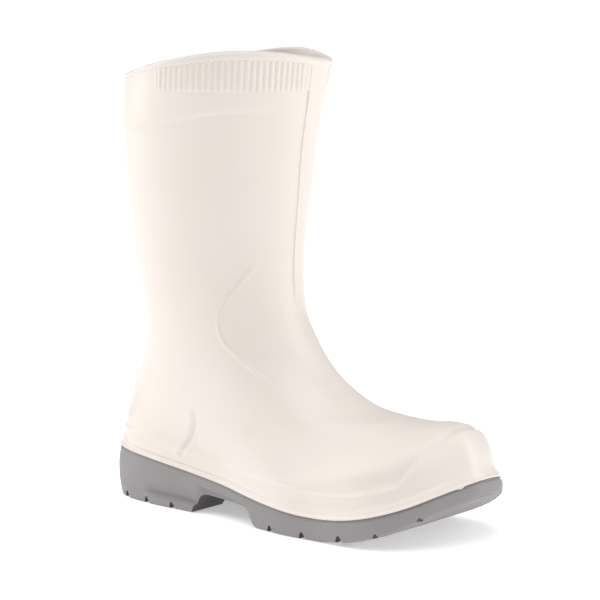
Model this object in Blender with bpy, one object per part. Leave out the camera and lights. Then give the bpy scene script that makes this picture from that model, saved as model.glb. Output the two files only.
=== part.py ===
"""White polyurethane work boot for the right foot, moulded in one piece onto a grey outsole.

Metres, +Z up. The boot stands on the plane z = 0 with its toe towards -Y and its heel towards +Y.
The outer side of the foot faces -X and the inner side +X.

Upper and sole share one plan outline, so that their edges meet all round. The upper is a stack of
closed rings that run from the collar down to the feather line, where the sole begins. Each ring
starts at the back of the boot, passes the outer side, crosses the front and comes back along the
inner side.
"""

import math
from collections import namedtuple

import bpy
import numpy as np

# Whole boot
SOLE_LENGTH = 0.305
BALL_WIDTH = 0.114
HEEL_WIDTH = 0.082
BOOT_HEIGHT = 0.3037

# Shaft, with the centres measured from the heel end
COLLAR_WIDTH = 0.132
COLLAR_DEPTH = 0.140
COLLAR_CENTRE = 0.0968
RIM_WAVE = 0.0065
ANKLE_WIDTH = 0.088
ANKLE_DEPTH = 0.1235
ANKLE_CENTRE = 0.0904
ANKLE_HEIGHT = 0.1338
CALF_BOW = 0.0076
SHAFT_TILT = 0.0172

# Foot of the upper
INSTEP_HEIGHT = 0.0948
TOE_BOX_HEIGHT = 0.0759
TOE_LEAN = 0.004
WALL = 0.0045

# Rim bead, ribbed band and the step under the band
BEAD_HEIGHT = 0.0048
BEAD_PROUD = 0.0011
BAND_HEIGHT = 0.0165
BAND_PROUD = 0.0006
STEP_RUN = 0.0010

# Flange at the foot of the upper, and the guard that stands proud above it and over the toe
LIP_HEIGHT = 0.0040
LIP_PROUD = 0.0045
FLARE_PROUD = 0.0016
FLARE_HEIGHT = 0.0100
GUARD_PROUD = 0.0010
GUARD_HEIGHT = 0.0160
GUARD_RUN = 0.0030
TOE_CAP_START = 0.2563
TOE_CAP_LEAN = 0.76

# Outsole
HEEL_SIDE = 0.0356
BALL_SIDE = 0.0149
TOE_SIDE = 0.0102
TOE_SPRING = 0.0329
HEEL_TUCK = 0.0030
TUCK_RUN = 0.0180
HEEL_FRONT = 0.093
HEEL_SLANT = 0.0095
ARCH_HEIGHT = 0.0138
ARCH_FALL = 0.0018
CHANNEL_WIDTH = 0.021
CHANNEL_HEIGHT = 0.011
CHANNEL_REACH = 0.026
FOREFOOT_REAR = 0.160
FOREFOOT_SLANT = 0.0115
NECK_INSET = 0.0010
NECK_HEIGHT = 0.0013
LEDGE_PROUD = 0.0009
EDGE_CHAMFER = 0.0010
NOTCH_WIDTH = 0.0058
NOTCH_DEPTH = 0.0048
NOTCH_REACH = 0.012

# Insole, and the clearance between neighbours
INSOLE_THICKNESS = 0.0040
INSOLE_TAPER = 0.0012
INSOLE_CLEARANCE = 0.0012
GAP = 0.0003

# Points round a ring, and the run between rings on the outer and on the inner face
COLUMNS = 60
OUTER_SPACING = 0.010
INNER_SPACING = 0.013
CLOSEST_SPACING = 0.008

# Half widths of the sole at each share of its length, ahead of the heel end
PlanRow = namedtuple("PlanRow", "along outer inner")
PLAN = [
    PlanRow(0.00, 0.000 * HEEL_WIDTH, 0.000 * HEEL_WIDTH),
    PlanRow(0.03, 0.275 * HEEL_WIDTH, 0.265 * HEEL_WIDTH),
    PlanRow(0.10, 0.430 * HEEL_WIDTH, 0.425 * HEEL_WIDTH),
    PlanRow(0.20, 0.485 * HEEL_WIDTH, 0.480 * HEEL_WIDTH),
    PlanRow(0.30, 0.500 * HEEL_WIDTH, 0.475 * HEEL_WIDTH),
    PlanRow(0.40, 0.380 * BALL_WIDTH, 0.340 * BALL_WIDTH),
    PlanRow(0.50, 0.431 * BALL_WIDTH, 0.350 * BALL_WIDTH),
    PlanRow(0.60, 0.474 * BALL_WIDTH, 0.400 * BALL_WIDTH),
    PlanRow(0.69, 0.474 * BALL_WIDTH, 0.455 * BALL_WIDTH),
    PlanRow(0.76, 0.483 * BALL_WIDTH, 0.485 * BALL_WIDTH),
    PlanRow(0.83, 0.469 * BALL_WIDTH, 0.485 * BALL_WIDTH),
    PlanRow(0.89, 0.404 * BALL_WIDTH, 0.450 * BALL_WIDTH),
    PlanRow(0.94, 0.304 * BALL_WIDTH, 0.375 * BALL_WIDTH),
    PlanRow(0.98, 0.146 * BALL_WIDTH, 0.240 * BALL_WIDTH),
    PlanRow(1.00, 0.000 * BALL_WIDTH, 0.000 * BALL_WIDTH),
]

# Feather line: its fall from the heel to the ball, and its climb from the ball to the toe
FeatherRow = namedtuple("FeatherRow", "along fall climb")
FEATHER = [
    FeatherRow(0.00, 0.000, 0.000),
    FeatherRow(0.12, 0.121, 0.000),
    FeatherRow(0.25, 0.325, 0.000),
    FeatherRow(0.40, 0.597, 0.000),
    FeatherRow(0.55, 0.875, 0.000),
    FeatherRow(0.70, 1.000, 0.000),
    FeatherRow(0.80, 1.000, 0.134),
    FeatherRow(0.90, 1.000, 0.449),
    FeatherRow(1.00, 1.000, 1.000),
]

# Underside: its lift from the floor, as a share of the toe spring
TreadRow = namedtuple("TreadRow", "along lift")
TREAD = [
    TreadRow(0.000, 0.030),
    TreadRow(0.050, 0.000),
    TreadRow(0.700, 0.000),
    TreadRow(0.740, 0.050),
    TreadRow(0.780, 0.088),
    TreadRow(0.820, 0.174),
    TreadRow(0.860, 0.286),
    TreadRow(0.900, 0.457),
    TreadRow(0.930, 0.614),
    TreadRow(0.965, 0.810),
    TreadRow(1.000, 1.000),
]

# Notches across the tread, as shares of the sole's length ahead of the heel end
NOTCHES = [0.088, 0.164, 0.248, 0.566, 0.659, 0.761, 0.850, 0.930]

# Rim height round the collar, in degrees from the back through the outer side
RimRow = namedtuple("RimRow", "turn rise")
RIM = [
    RimRow(0, -1.50),
    RimRow(45, -1.80),
    RimRow(90, -0.15),
    RimRow(130, 1.00),
    RimRow(155, 0.90),
    RimRow(180, 0.30),
    RimRow(222, -0.30),
    RimRow(265, 0.35),
    RimRow(310, -0.60),
    RimRow(360, -1.50),
]

# Shaft from the collar (0) to the ankle (1): how far it bows back, as a share of the calf bow, and
# how far its depth and its width have gone over to the ankle's
ShaftRow = namedtuple("ShaftRow", "way bow depth width")
SHAFT = [
    ShaftRow(0.00, 0.00, 0.00, 0.00),
    ShaftRow(0.12, 0.30, 0.02, 0.08),
    ShaftRow(0.39, 0.91, 0.19, 0.33),
    ShaftRow(0.57, 1.00, 0.38, 0.55),
    ShaftRow(0.69, 0.91, 0.68, 0.72),
    ShaftRow(0.87, 0.60, 0.97, 0.90),
    ShaftRow(1.00, 0.00, 1.00, 1.00),
]

# Edge of the flange: its inset, as a share of how proud it stands, and its height
FlangeRow = namedtuple("FlangeRow", "inset height")
FLANGE = [
    FlangeRow(0.16, 0.80),
    FlangeRow(0.00, 0.50),
    FlangeRow(0.00, 0.20),
    FlangeRow(0.20, 0.00),
]

# Rings of the upper: where the ring starts and ends along the foot, its heights at the back, along
# the sides and at the front, its half widths, how far its outline has gone over from an ellipse to
# the plan outline, how late its ends rise, and how far its front leans to the inner side
Ring = namedtuple("Ring", "back front back_height side_height front_height outer inner plan rise lean")

FOOT = [
    Ring(
        0.0913 * SOLE_LENGTH, 0.5332 * SOLE_LENGTH,
        0.8695 * ANKLE_HEIGHT, 0.8510 * ANKLE_HEIGHT, 1.1915 * INSTEP_HEIGHT,
        0.490 * ANKLE_WIDTH, 0.490 * ANKLE_WIDTH, 0.00, 2.0, 0.20 * TOE_LEAN,
    ),
    Ring(
        0.0773 * SOLE_LENGTH, 0.5921 * SOLE_LENGTH,
        0.7467 * ANKLE_HEIGHT, 0.7021 * ANKLE_HEIGHT, 0.9839 * INSTEP_HEIGHT,
        0.485 * ANKLE_WIDTH, 0.480 * ANKLE_WIDTH, 0.00, 2.0, 0.40 * TOE_LEAN,
    ),
    Ring(
        0.0515 * SOLE_LENGTH, 0.7071 * SOLE_LENGTH,
        0.6342 * ANKLE_HEIGHT, 0.5622 * ANKLE_HEIGHT, 0.9923 * TOE_BOX_HEIGHT,
        0.475 * ANKLE_WIDTH, 0.470 * ANKLE_WIDTH, 0.02, 2.0, 0.70 * TOE_LEAN,
    ),
    Ring(
        0.0298 * SOLE_LENGTH, 0.7911 * SOLE_LENGTH,
        0.5413 * ANKLE_HEIGHT, 0.4426 * ANKLE_HEIGHT, 0.9674 * TOE_BOX_HEIGHT,
        0.371 * BALL_WIDTH, 0.370 * BALL_WIDTH, 0.08, 2.2, 0.90 * TOE_LEAN,
    ),
    Ring(
        0.0253 * SOLE_LENGTH, 0.8501 * SOLE_LENGTH,
        0.4774 * ANKLE_HEIGHT, 0.3478 * ANKLE_HEIGHT, 0.9703 * TOE_BOX_HEIGHT,
        0.402 * BALL_WIDTH, 0.400 * BALL_WIDTH, 0.45, 2.8, 1.00 * TOE_LEAN,
    ),
    Ring(
        0.0219 * SOLE_LENGTH, 0.8952 * SOLE_LENGTH,
        0.4281 * ANKLE_HEIGHT, 0.2680 * ANKLE_HEIGHT, 0.9854 * TOE_BOX_HEIGHT,
        0.427 * BALL_WIDTH, 0.430 * BALL_WIDTH, 0.85, 3.6, 0.90 * TOE_LEAN,
    ),
    Ring(
        0.0206 * SOLE_LENGTH, 0.9380 * SOLE_LENGTH,
        0.3838 * ANKLE_HEIGHT, 0.2277 * ANKLE_HEIGHT, 0.9512 * TOE_BOX_HEIGHT,
        0.441 * BALL_WIDTH, 0.447 * BALL_WIDTH, 1.00, 3.6, 0.60 * TOE_LEAN,
    ),
    Ring(
        0.0193 * SOLE_LENGTH, 0.9694 * SOLE_LENGTH,
        0.3493 * ANKLE_HEIGHT, 0.2025 * ANKLE_HEIGHT, 0.8028 * TOE_BOX_HEIGHT,
        0.444 * BALL_WIDTH, 0.450 * BALL_WIDTH, 1.00, 3.6, 0.30 * TOE_LEAN,
    ),
]


def smooth(place, knots, values):
    """Value at each place of a smooth curve through the knots."""
    knots = np.asarray(knots, float)
    values = np.asarray(values, float)
    slopes = np.gradient(values, knots)
    left = np.clip(np.searchsorted(knots, place, side="right") - 1, 0, len(knots) - 2)
    run = knots[left + 1] - knots[left]
    share = (place - knots[left]) / run
    rest = 1 - share
    near = (1 + 2 * share) * rest**2 * values[left] + share * rest**2 * run * slopes[left]
    far = share**2 * (3 - 2 * share) * values[left + 1] - share**2 * rest * run * slopes[left + 1]
    return near + far


def column(table, name):
    return [getattr(row, name) for row in table]


def feather_height(y):
    """Height of the line where upper and sole meet."""
    along = np.clip(0.5 - y / SOLE_LENGTH, 0, 1)
    fall = smooth(along, column(FEATHER, "along"), column(FEATHER, "fall"))
    climb = smooth(along, column(FEATHER, "along"), column(FEATHER, "climb"))
    toe_height = TOE_SIDE + TOE_SPRING
    return HEEL_SIDE - fall * (HEEL_SIDE - BALL_SIDE) + climb * (toe_height - BALL_SIDE)


def tread_height(y):
    """Height of the underside above the floor."""
    along = np.clip(0.5 - y / SOLE_LENGTH, 0, 1)
    return TOE_SPRING * np.interp(along, column(TREAD, "along"), column(TREAD, "lift"))


def turns():
    """Angle of each column, from the back through the outer side."""
    return 2 * math.pi * np.arange(COLUMNS) / COLUMNS


def plan_half_widths():
    """Half width of the plan outline at each column, on the column's own side."""
    turn = turns()
    angle = np.minimum(turn, 2 * math.pi - turn)
    knots = np.arccos(1 - 2 * np.array(column(PLAN, "along")))
    outer = smooth(angle, knots, column(PLAN, "outer"))
    inner = smooth(angle, knots, column(PLAN, "inner"))
    return np.where(turn <= math.pi, outer, inner)


def sides():
    """-1 for a column on the outer side of the foot and +1 on the inner side."""
    return np.where(turns() <= math.pi, -1.0, 1.0)


def plan_outline():
    """Outline of the sole, flat on the floor."""
    along = (1 - np.cos(turns())) / 2
    y = SOLE_LENGTH * (0.5 - along)
    return np.column_stack([sides() * plan_half_widths(), y, 0 * y])


def pushed(ring, distance):
    """The ring moved outwards in plan."""
    tangent = np.roll(ring, -1, axis=0) - np.roll(ring, 1, axis=0)
    normal = np.column_stack([tangent[:, 1], -tangent[:, 0], 0 * tangent[:, 2]])
    normal /= np.linalg.norm(normal, axis=1)[:, None]
    return ring + np.reshape(distance, (-1, 1)) * normal


def level(ring, height):
    """The ring with a new height at each point."""
    return np.column_stack([ring[:, 0], ring[:, 1], height * np.ones(len(ring))])


def shaft_rings():
    found = []
    for row in SHAFT:
        height = BOOT_HEIGHT + row.way * (ANKLE_HEIGHT - BOOT_HEIGHT)
        half = (COLLAR_WIDTH + row.width * (ANKLE_WIDTH - COLLAR_WIDTH)) / 2
        reach = (COLLAR_DEPTH + row.depth * (ANKLE_DEPTH - COLLAR_DEPTH)) / 2
        centre = COLLAR_CENTRE + row.way * (ANKLE_CENTRE - COLLAR_CENTRE) - row.bow * CALF_BOW
        back, front = centre - reach, centre + reach
        tilt = SHAFT_TILT * reach
        found.append(Ring(
            back, front, height + tilt, height, height - tilt, half, half, 0.0, 2.0, 0.0
        ))
    return found


def foot_ring():
    """The last ring of the upper, just over its flange."""
    back, middle, front = feather_height(SOLE_LENGTH * np.array([0.5, -0.2, -0.5])) + LIP_HEIGHT
    outer = max(column(PLAN, "outer")) - LIP_PROUD
    inner = max(column(PLAN, "inner")) - LIP_PROUD
    return Ring(
        LIP_PROUD, SOLE_LENGTH - LIP_PROUD, back, middle, front, outer, inner, 1.0, 3.6, 0.0
    )


RINGS = shaft_rings() + FOOT + [foot_ring()]


def ring_places():
    """Place of each ring down the upper: the mean travel of its back and its front."""
    backs = np.array([(ring.back, ring.back_height) for ring in RINGS])
    fronts = np.array([(ring.front, ring.front_height) for ring in RINGS])
    travel = np.linalg.norm(np.diff(backs, axis=0), axis=1)
    travel += np.linalg.norm(np.diff(fronts, axis=0), axis=1)
    return np.concatenate([[0], np.cumsum(travel / 2)])


PLACES = ring_places()


def bowed(along, back, side, front, rise):
    """A height that leaves the back, sinks to the side height and climbs to the front."""
    return side + (back - side) * (1 - along) ** rise + (front - side) * along**rise


def upper_ring(place):
    """Points of the upper's outer face at a place down the rings."""
    values = [smooth(place, PLACES, column(RINGS, name)) for name in Ring._fields]
    ring = Ring(*values)
    turn = turns()
    along = (1 - np.cos(turn)) / 2
    half = np.where(turn <= math.pi, ring.outer, ring.inner)
    widest = np.where(turn <= math.pi, max(column(PLAN, "outer")), max(column(PLAN, "inner")))
    ellipse = half * np.abs(np.sin(turn))
    shaped = half * plan_half_widths() / widest
    x = sides() * (ellipse + ring.plan * (shaped - ellipse)) + ring.lean * along**2
    y = SOLE_LENGTH / 2 - ring.back - (ring.front - ring.back) * along
    height = bowed(along, ring.back_height, ring.side_height, ring.front_height, ring.rise)
    last = RINGS[-1]
    flat = bowed(along, last.back_height, last.side_height, last.front_height, ring.rise)
    height = height + ring.plan * (feather_height(SOLE_LENGTH * (0.5 - along)) + LIP_HEIGHT - flat)
    return np.column_stack([x, y, height])


def place_at(height):
    """Place down the shaft where the rings have this height."""
    shaft = column(RINGS[: len(SHAFT)], "side_height")
    return np.interp(-height, -np.array(shaft), PLACES[: len(SHAFT)])


def rim_lift(heights):
    """How far the wave of the rim lifts points at these nominal heights."""
    foot = BOOT_HEIGHT - BEAD_HEIGHT - BAND_HEIGHT
    share = np.clip((heights - foot) / (BOOT_HEIGHT - foot), 0, 1)
    wave = smooth(np.degrees(turns()), column(RIM, "turn"), column(RIM, "rise"))
    return RIM_WAVE * wave * share


def normals_of(rings):
    """Outward normals of a stack of rings that runs downwards."""
    down = np.gradient(rings, axis=0)
    around = np.roll(rings, -1, axis=1) - np.roll(rings, 1, axis=1)
    normals = np.cross(down, around)
    return normals / np.linalg.norm(normals, axis=2)[:, :, None]


def offset_rings(places, offsets):
    """Rings of the upper at these places, each moved out along its normals by its offset."""
    step = 0.0005
    found = []
    for place, offset in zip(places, offsets):
        place = min(max(place, PLACES[0] + step), PLACES[-1] - step)
        stack = np.array([upper_ring(place - step), upper_ring(place), upper_ring(place + step)])
        ring = stack[1] + np.reshape(offset, (-1, 1)) * normals_of(stack)[1]
        ring[:, 2] += rim_lift(stack[1][:, 2])
        found.append(ring)
    return found


def body_places(spacing):
    """Places down the upper below the band, about this far apart."""
    first = place_at(BOOT_HEIGHT - BEAD_HEIGHT - BAND_HEIGHT - 2 * STEP_RUN)
    knots = [first] + [place for place in PLACES if place > first + CLOSEST_SPACING]
    found = [first]
    for near, far in zip(knots, knots[1:]):
        count = max(1, round((far - near) / spacing))
        found += [near + (far - near) * (i + 1) / count for i in range(count)]
    return found


def collar_profile():
    """Nominal drop from the rim and offset of each ring of the bead and the band."""
    return [
        (0.00 * BEAD_HEIGHT, -0.50 * WALL),
        (0.12 * BEAD_HEIGHT, 0.00),
        (0.50 * BEAD_HEIGHT, BEAD_PROUD),
        (0.90 * BEAD_HEIGHT, 0.20 * BEAD_PROUD),
        (1.00 * BEAD_HEIGHT, 0.00),
        (1.00 * BEAD_HEIGHT + STEP_RUN, BAND_PROUD),
        (BEAD_HEIGHT + 0.5 * BAND_HEIGHT, BAND_PROUD),
        (BEAD_HEIGHT + BAND_HEIGHT, BAND_PROUD),
        (BEAD_HEIGHT + BAND_HEIGHT + STEP_RUN, 0.00),
    ]


def tuck(y):
    """How far the feather line is drawn in at the back of the heel."""
    return HEEL_TUCK * np.clip(1 - (SOLE_LENGTH / 2 - y) / TUCK_RUN, 0, 1)


def guard_step(ring):
    """How far a ring stands proud on the guard, on the cap over the toe and in the flare below."""
    above = ring[:, 2] - feather_height(ring[:, 1])
    cap = SOLE_LENGTH / 2 - ring[:, 1] - TOE_CAP_START - TOE_CAP_LEAN * above
    guard = GUARD_PROUD * np.clip(np.maximum(GUARD_HEIGHT - above, cap) / GUARD_RUN, 0, 1)
    flare = np.clip((FLARE_HEIGHT - above) / (FLARE_HEIGHT - LIP_HEIGHT), 0, 1)
    return guard + FLARE_PROUD * flare**2 * (1 - tuck(ring[:, 1]) / HEEL_TUCK)


def upper_points():
    """Rings of the whole upper: down the outer face, round the flange and up the inner face."""
    places = [place_at(BOOT_HEIGHT - drop) for drop, offset in collar_profile()]
    offsets = [offset for drop, offset in collar_profile()]
    outer = offset_rings(places, offsets)
    for place in body_places(OUTER_SPACING):
        ring = offset_rings([place], [0.0])[0]
        outer += offset_rings([place], [guard_step(ring)])

    plan = plan_outline()
    flange = []
    for row in FLANGE:
        ring = pushed(plan, -row.inset * LIP_PROUD - tuck(plan[:, 1]))
        rise = max(row.height * LIP_HEIGHT, GAP / 2)
        flange.append(level(ring, feather_height(ring[:, 1]) + rise))
    inner_plan = pushed(plan, -LIP_PROUD - WALL)
    inner_foot = level(inner_plan, feather_height(inner_plan[:, 1]) + GAP / 2)

    inner_places = [place_at(BOOT_HEIGHT - 0.3 * BEAD_HEIGHT)] + body_places(INNER_SPACING)[:-1]
    inner = offset_rings(inner_places, [-WALL] * len(inner_places))
    return outer + flange + [inner_foot] + inner[::-1]


def grid_mesh(name, rings, closed):
    """Mesh of a stack of rings, closed into a loop or capped at its ends with rungs across."""
    count = len(rings)
    points = np.concatenate(rings)
    faces = []
    for k in range(count if closed else count - 1):
        here = k * COLUMNS
        there = (k + 1) % count * COLUMNS
        for j in range(COLUMNS):
            after = (j + 1) % COLUMNS
            faces.append((here + j, there + j, there + after, here + after))
    if not closed:
        last = (count - 1) * COLUMNS
        for j in range(COLUMNS // 2):
            far, farther = (COLUMNS - j) % COLUMNS, COLUMNS - j - 1
            rung = list(dict.fromkeys([j, j + 1, farther, far]))
            faces.append(tuple(rung))
            faces.append(tuple(last + corner for corner in reversed(rung)))
    mesh = bpy.data.meshes.new(name)
    mesh.from_pydata([tuple(point) for point in points], [], faces)
    mesh.validate()
    return mesh


def plain_material(name, colour, roughness):
    material = bpy.data.materials.new(name)
    material.use_nodes = True
    shader = material.node_tree.nodes["Principled BSDF"]
    shader.inputs["Base Color"].default_value = (*colour, 1.0)
    shader.inputs["Roughness"].default_value = roughness
    shader.inputs["Metallic"].default_value = 0.0
    return material


def add_piece(name, mesh, material, parent):
    piece = bpy.data.objects.new(name, mesh)
    bpy.context.scene.collection.objects.link(piece)
    piece.parent = parent
    mesh.materials.append(material)
    mesh.shade_smooth()
    mesh.set_sharp_from_angle(angle=math.radians(40))
    return piece


def add_upper(parent):
    """Shaft and foot in one moulding, open at the collar and underneath."""
    mesh = grid_mesh("upper", upper_points(), closed=True)
    material = plain_material("white polyurethane", (0.80, 0.76, 0.70), 0.42)
    return add_piece("upper", mesh, material, parent)


def sole_profile():
    """Down the outsole: share of the face, drop at its top, offset, offset on the heel, and tuck."""
    neck = NECK_HEIGHT + 0.8 * NECK_INSET
    return [
        (0.00, GAP / 2, -NECK_INSET, 0.0, 1.0),
        (0.00, NECK_HEIGHT, -NECK_INSET, 0.0, 1.0),
        (0.00, neck, 0.0, 0.0, 0.9),
        (0.35, neck, 0.6 * LEDGE_PROUD, 0.0, 0.1),
        (0.70, neck, 0.4 * LEDGE_PROUD, -0.8 * LEDGE_PROUD, 0.1),
        (0.75, neck, 0.3 * LEDGE_PROUD, -0.8 * LEDGE_PROUD, 0.2),
        (0.79, neck, 0.2 * LEDGE_PROUD, 0.8 * LEDGE_PROUD, 0.4),
        (0.93, neck, 0.0, 0.8 * LEDGE_PROUD, 0.8),
        (1.00, neck, -EDGE_CHAMFER, 0.0, 1.0),
    ]


def heel_share(y):
    """1 along the heel block, falling to 0 where the forefoot starts."""
    return np.clip((FOREFOOT_REAR - SOLE_LENGTH / 2 + y) / (FOREFOOT_REAR - HEEL_FRONT), 0, 1)


def sole_rings():
    plan = plan_outline()
    rings = []
    for share, drop, offset, heel_offset, drawn_in in sole_profile():
        offsets = offset + heel_offset * heel_share(plan[:, 1]) - drawn_in * tuck(plan[:, 1])
        ring = pushed(plan, offsets)
        top = feather_height(ring[:, 1]) - drop
        bottom = tread_height(plan[:, 1])
        rings.append(level(ring, top + share * (bottom - top)))
    return rings


def side_at(y, side):
    """Where the plan outline runs on one side of the foot, -1 outer or +1 inner, across from y."""
    plan = plan_outline()
    plan = plan[side * plan[:, 0] > 0]
    order = np.argsort(plan[:, 1])
    return float(np.interp(y, plan[order, 1], plan[order, 0]))


def prism(name, profile, start, stop):
    """A closed bar across the foot, from its outline in the side view."""
    count = len(profile)
    near = [(start, y, z) for y, z in profile]
    far = [(stop, y, z) for y, z in profile]
    faces = [tuple(range(count - 1, -1, -1)), tuple(range(count, 2 * count))]
    for i in range(count):
        after = (i + 1) % count
        faces.append((i, after, count + after, count + i))
    mesh = bpy.data.meshes.new(name)
    mesh.from_pydata(near + far, [], faces)
    return mesh


def arch_profile():
    """Space under the waist, between the heel block and the rounded rear of the forefoot."""
    heel = SOLE_LENGTH / 2 - HEEL_FRONT
    forefoot = SOLE_LENGTH / 2 - FOREFOOT_REAR
    front_height = ARCH_HEIGHT - ARCH_FALL
    return [
        (heel, -BALL_SIDE),
        (heel, 0.0),
        (heel - 0.85 * HEEL_SLANT, 0.88 * ARCH_HEIGHT),
        (heel - 1.40 * HEEL_SLANT, ARCH_HEIGHT),
        (forefoot + 1.00 * FOREFOOT_SLANT, front_height),
        (forefoot + 0.75 * FOREFOOT_SLANT, 0.72 * front_height),
        (forefoot + 0.38 * FOREFOOT_SLANT, 0.22 * front_height),
        (forefoot, 0.0),
        (forefoot, -BALL_SIDE),
    ]


def channel_profile():
    """Hollow in the middle of the heel block's front, open to the arch and to the floor."""
    back = SOLE_LENGTH / 2 - HEEL_FRONT + CHANNEL_REACH
    front = SOLE_LENGTH / 2 - HEEL_FRONT - 1.40 * HEEL_SLANT
    return [
        (back, -BALL_SIDE),
        (back, 0.0),
        (back - 0.3 * CHANNEL_HEIGHT, CHANNEL_HEIGHT),
        (front, CHANNEL_HEIGHT),
        (front, -BALL_SIDE),
    ]


def notch_profile(y):
    """Outline of one notch: a wedge with its narrow end up, open to the floor."""
    floor = tread_height(y)
    half = NOTCH_WIDTH / 2
    return [
        (y + half, floor - NOTCH_DEPTH),
        (y + half, floor),
        (y + 0.40 * half, floor + NOTCH_DEPTH),
        (y - 0.40 * half, floor + NOTCH_DEPTH),
        (y - half, floor),
        (y - half, floor - NOTCH_DEPTH),
    ]


def add_cut(piece, name, profile, start, stop, parent):
    """A bar that runs across the foot from start to stop, cut away from the piece."""
    cutter = bpy.data.objects.new(name, prism(name, profile, start, stop))
    bpy.context.scene.collection.objects.link(cutter)
    cutter.parent = parent
    cutter.hide_render = True
    cutter.display_type = "WIRE"
    cut = piece.modifiers.new(name, "BOOLEAN")
    cut.operation = "DIFFERENCE"
    cut.solver = "EXACT"
    cut.object = cutter


def add_outsole(parent):
    """Grey sole with a hollowed heel block, an arch, toe spring and a notched tread."""
    mesh = grid_mesh("outsole", sole_rings(), closed=False)
    material = plain_material("grey polyurethane", (0.29, 0.28, 0.285), 0.50)
    sole = add_piece("outsole", mesh, material, parent)
    add_cut(sole, "arch_cut", arch_profile(), -BALL_WIDTH, BALL_WIDTH, parent)
    add_cut(sole, "channel_cut", channel_profile(), -CHANNEL_WIDTH / 2, CHANNEL_WIDTH / 2, parent)
    for i, share in enumerate(NOTCHES):
        y = SOLE_LENGTH * (0.5 - share)
        outer = side_at(y, -1) + NOTCH_REACH
        inner = side_at(y, 1) - NOTCH_REACH
        add_cut(sole, f"outer_notch_cut_{i + 1}", notch_profile(y), -BALL_WIDTH, outer, parent)
        add_cut(sole, f"inner_notch_cut_{i + 1}", notch_profile(y), inner, BALL_WIDTH, parent)
    return sole


def add_insole(parent):
    """Loose footbed that lies on the sole inside the upper."""
    edge = pushed(plan_outline(), -LIP_PROUD - WALL - INSOLE_CLEARANCE)
    top_edge = pushed(edge, -INSOLE_TAPER)
    base = feather_height(edge[:, 1]) + GAP / 2
    top = feather_height(top_edge[:, 1]) + INSOLE_THICKNESS
    rings = [level(top_edge, top), level(edge, base + 0.3 * INSOLE_THICKNESS), level(edge, base)]
    mesh = grid_mesh("insole", rings, closed=False)
    material = plain_material("footbed cloth", (0.50, 0.49, 0.47), 0.85)
    return add_piece("insole", mesh, material, parent)


def clear_scene():
    for thing in list(bpy.data.objects):
        bpy.data.objects.remove(thing)


def main():
    clear_scene()
    boot = bpy.data.objects.new("boot", None)
    bpy.context.scene.collection.objects.link(boot)
    add_upper(boot)
    add_outsole(boot)
    add_insole(boot)


main()
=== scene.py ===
"""Studio view of a white polyurethane work boot for the right foot.

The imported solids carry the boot's main form. The pieces made here stand for them with what a mould
leaves on the real boot: the ribbed grip under the rim, the parting seam, the ankle guard, the heel
crease, the lip over the sole, the stepped sole with its lugs and notches, the knitted lining and
the cloth footbed.

Metres, +Z up, toe towards -Y, outer side of the foot towards -X.
"""

import math
from collections import namedtuple

import bpy
import numpy as np
from bpy.props import FloatProperty, FloatVectorProperty, PointerProperty
from mathutils import Matrix, Vector


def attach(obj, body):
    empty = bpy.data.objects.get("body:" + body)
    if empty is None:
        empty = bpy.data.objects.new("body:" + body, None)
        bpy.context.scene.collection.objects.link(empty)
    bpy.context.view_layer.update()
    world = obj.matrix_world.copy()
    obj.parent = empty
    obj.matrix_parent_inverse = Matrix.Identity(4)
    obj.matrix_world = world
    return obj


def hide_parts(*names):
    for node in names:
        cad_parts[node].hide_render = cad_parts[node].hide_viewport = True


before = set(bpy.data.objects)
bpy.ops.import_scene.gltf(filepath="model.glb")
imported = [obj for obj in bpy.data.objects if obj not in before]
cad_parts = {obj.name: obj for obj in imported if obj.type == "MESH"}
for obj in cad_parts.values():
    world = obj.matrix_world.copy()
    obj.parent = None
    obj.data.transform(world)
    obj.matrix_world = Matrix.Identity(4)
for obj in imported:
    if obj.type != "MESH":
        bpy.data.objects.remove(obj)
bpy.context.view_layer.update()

bl_info = {
    "name": "Polyurethane work boot",
    "version": (1, 0, 0),
    "blender": (4, 5, 0),
    "location": "3D View > Sidebar > Work boot",
    "description": "Dresses the solids of a moulded work boot and sets up a studio stage",
    "category": "Object",
}

# Whole boot
SOLE_LENGTH = 0.305
BALL_WIDTH = 0.114
HEEL_WIDTH = 0.082
BOOT_HEIGHT = 0.3037

# Shaft, with the centres measured from the heel end
COLLAR_WIDTH = 0.132
COLLAR_DEPTH = 0.140
COLLAR_CENTRE = 0.0968
RIM_WAVE = 0.0065
ANKLE_WIDTH = 0.088
ANKLE_DEPTH = 0.1235
ANKLE_CENTRE = 0.0904
ANKLE_HEIGHT = 0.1338
CALF_BOW = 0.0076
SHAFT_TILT = 0.0172

# Foot of the upper
INSTEP_HEIGHT = 0.0948
TOE_BOX_HEIGHT = 0.0759
TOE_LEAN = 0.004
WALL = 0.0045

# Rim bead and the grip band under it
BEAD_HEIGHT = 0.0048
BEAD_PROUD = 0.0011
BAND_HEIGHT = 0.0165

# Edge over the sole, and the guard above it
LIP_HEIGHT = 0.0040
LIP_PROUD = 0.0045
FLARE_PROUD = 0.0016
FLARE_HEIGHT = 0.0100
GUARD_PROUD = 0.0010
GUARD_HEIGHT = 0.0160
GUARD_RUN = 0.0030
GUARD_BEAD = 0.0008
GUARD_HOLLOW = 0.0010
TOE_CAP_START = 0.2563
TOE_CAP_LEAN = 0.76

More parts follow.
